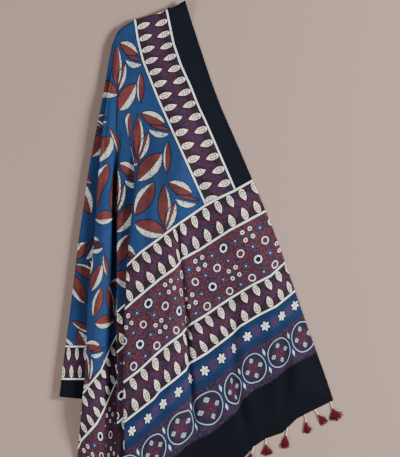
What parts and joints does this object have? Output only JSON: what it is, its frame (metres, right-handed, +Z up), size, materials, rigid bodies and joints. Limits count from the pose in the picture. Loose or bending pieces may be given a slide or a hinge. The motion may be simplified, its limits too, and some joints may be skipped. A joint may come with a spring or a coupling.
{
  "type": "ajrakh cloth",
  "caption": "Block-printed cotton shawl laid out in its hanging folds, with yarn tassels along its hem.",
  "frame": {"origin": "middle of the bounding box, on the surface that the cloth lies on", "axes": "+Z up; +Y along the cloth's long side, towards its shoulder fold; +X to the right, seen from above"},
  "size_m": [0.61, 1.1531, 0.0408],
  "materials": {
    "printed_cotton": "matt plain weave with a resist and block print",
    "tassel_yarn": "soft spun yarn"
  },
  "bodies": {
    "root": {"cloth": "printed_cotton", "tassel_01": "tassel_yarn", "tassel_02": "tassel_yarn", "tassel_03": "tassel_yarn", "tassel_04": "tassel_yarn", "tassel_05": "tassel_yarn", "tassel_06": "tassel_yarn", "tassel_07": "tassel_yarn", "tassel_08": "tassel_yarn", "tassel_09": "tassel_yarn", "tassel_10": "tassel_yarn", "tassel_11": "tassel_yarn", "tassel_12": "tassel_yarn"}
  },
  "joints": []
}
